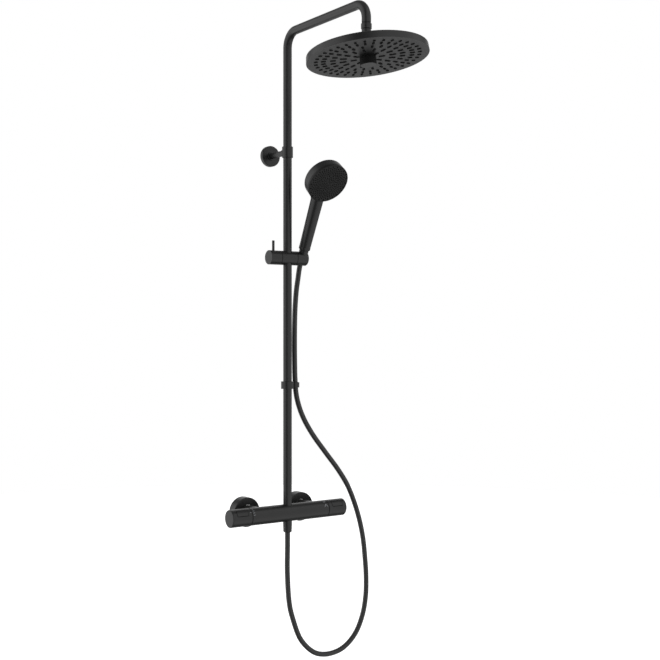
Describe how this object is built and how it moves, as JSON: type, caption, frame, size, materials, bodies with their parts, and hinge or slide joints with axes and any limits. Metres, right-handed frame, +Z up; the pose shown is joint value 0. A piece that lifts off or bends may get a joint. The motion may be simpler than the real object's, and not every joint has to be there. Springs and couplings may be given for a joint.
{
  "type": "rainfall shower column",
  "caption": "Wall-mounted thermostatic shower column: bar valve, tall riser with overhead arm, round tilting rain head, and hand shower with hose in a sliding holder.",
  "frame": {"origin": "on the wall plane, midway between the two inlets, at the height of the valve's axis", "axes": "+Z up along the riser, +Y into the wall along the inlets, +X to the right when facing the wall; the front faces -Y"},
  "size_m": [0.3905, 0.5419, 1.4801],
  "materials": {
    "satin_black": "satin, fine-grained matt black coating on metal",
    "black_plastic": "fine matt moulded plastic",
    "black_silicone": "soft matt silicone",
    "black_hose": "smooth satin hose jacket",
    "brass": "machined",
    "steel": "plain stainless",
    "nylon": "plain moulded",
    "black_rubber": "matt",
    "ceramic": "lapped ceramic"
  },
  "bodies": {
    "root": {"valve_body": "satin_black", "union_left": "brass", "union_right": "brass", "union_nut_left": "satin_black", "union_nut_right": "satin_black", "inlet_filters": "steel", "check_valves": "nylon", "rosette_left": "satin_black", "rosette_right": "satin_black", "thermostat_cartridge": "brass", "thermostat_element": "steel", "stop_ring": "nylon", "diverter_cartridge": "brass", "fixed_disc": "ceramic", "riser": "satin_black", "shower_arm": "satin_black", "riser_joint": "nylon", "bracket_base": "steel", "bracket_flange": "satin_black", "bracket_arm": "satin_black", "bracket_collar": "satin_black", "collar_grub_screw": "steel", "wall_screws": "steel", "wall_plugs": "nylon", "valve_hose_nut": "satin_black", "hose": "black_hose", "ball_connector": "satin_black"},
    "temperature_control": {"temperature_handle": "satin_black", "temperature_spindle": "brass", "temperature_handle_screw": "steel", "temperature_end_cap": "satin_black", "temperature_button_spring": "steel"},
    "temperature_button": {"temperature_button": "satin_black"},
    "flow_control": {"flow_handle": "satin_black", "flow_spindle": "brass", "turning_disc": "ceramic", "flow_handle_screw": "steel", "flow_end_cap": "satin_black", "flow_button_spring": "steel"},
    "flow_button": {"flow_button": "satin_black"},
    "clip": {"hose_clip": "satin_black"},
    "slider": {"slider_body": "satin_black", "slider_bush": "nylon", "holder_axle": "steel"},
    "lock": {"lock_knob": "satin_black", "lock_screw": "steel", "lock_pin": "black_plastic"},
    "holder": {"hand_shower_holder": "satin_black"},
    "cone": {"hose_cone": "satin_black"},
    "hand_shower": {"hand_shower_body": "black_plastic", "hand_shower_tube": "nylon", "hand_shower_face": "black_plastic", "hand_shower_nozzles": "black_silicone"},
    "front_tilt_seat": {"ball_seat": "nylon"},
    "side_tilt_ring": {"slip_ring": "black_rubber"},
    "rain_head": {"rain_head_shell": "black_plastic", "rain_head_plate": "satin_black", "rain_head_nozzles": "black_silicone", "rain_hub": "black_plastic", "swivel_nut": "satin_black"}
  },
  "joints": [
    {"name": "temperature_turn", "type": "hinge", "parent": "root", "child": "temperature_control", "pos_m": [0, -0.081, 0], "axis": [-1, 0, 0], "range_deg": [-160, 75]},
    {"name": "temperature_button_press", "type": "slide", "parent": "temperature_control", "child": "temperature_button", "axis": [0, 0.766, -0.6428], "range_m": [0, 0.002], "stiffness_N_per_m": 600, "springref_m": -0.001, "deforming": ["temperature_button_spring"]},
    {"name": "flow_turn", "type": "hinge", "parent": "root", "child": "flow_control", "pos_m": [0, -0.081, 0], "axis": [1, 0, 0], "range_deg": [-90, 90]},
    {"name": "flow_button_press", "type": "slide", "parent": "flow_control", "child": "flow_button", "axis": [0, 0.766, -0.6428], "range_m": [0, 0.002], "stiffness_N_per_m": 600, "springref_m": -0.001, "deforming": ["flow_button_spring"]},
    {"name": "clip_slide", "type": "slide", "parent": "root", "child": "clip", "axis": [0, 0, 1], "range_m": [0, 0.06]},
    {"name": "slider_slide", "type": "slide", "parent": "root", "child": "slider", "axis": [0, 0, 1], "range_m": [-0.15, 0.18], "deforming": ["hose"]},
    {"name": "lock_turn", "type": "hinge", "parent": "slider", "child": "lock", "pos_m": [-0.039, -0.081, 0.5927], "axis": [1, 0, 0], "range_deg": [0, 90]},
    {"name": "holder_tilt", "type": "hinge", "parent": "slider", "child": "holder", "pos_m": [0.04, -0.081, 0.5927], "axis": [1, 0, 0], "range_deg": [-8, 35]},
    {"name": "hand_shower_lift", "type": "slide", "parent": "holder", "child": "cone", "axis": [0, -0.4337, 0.9011], "range_m": [0, 0.03]},
    {"name": "hand_shower_turn", "type": "hinge", "parent": "cone", "child": "hand_shower", "pos_m": [0.04, -0.081, 0.5927], "axis": [0, -0.4337, 0.9011], "range_deg": [-60, 60]},
    {"name": "head_tilt_front", "type": "hinge", "parent": "root", "child": "front_tilt_seat", "pos_m": [0, -0.387, 1.024], "axis": [1, 0, 0], "range_deg": [-8, 21]},
    {"name": "head_tilt_side", "type": "hinge", "parent": "front_tilt_seat", "child": "side_tilt_ring", "pos_m": [0, -0.387, 1.024], "axis": [0, 0.9931, -0.1174], "range_deg": [-12, 17]},
    {"name": "head_spin", "type": "hinge", "parent": "side_tilt_ring", "child": "rain_head", "pos_m": [0, -0.387, 1.024], "axis": [-0.0457, 0.1172, 0.9921], "continuous": true}
  ]
}
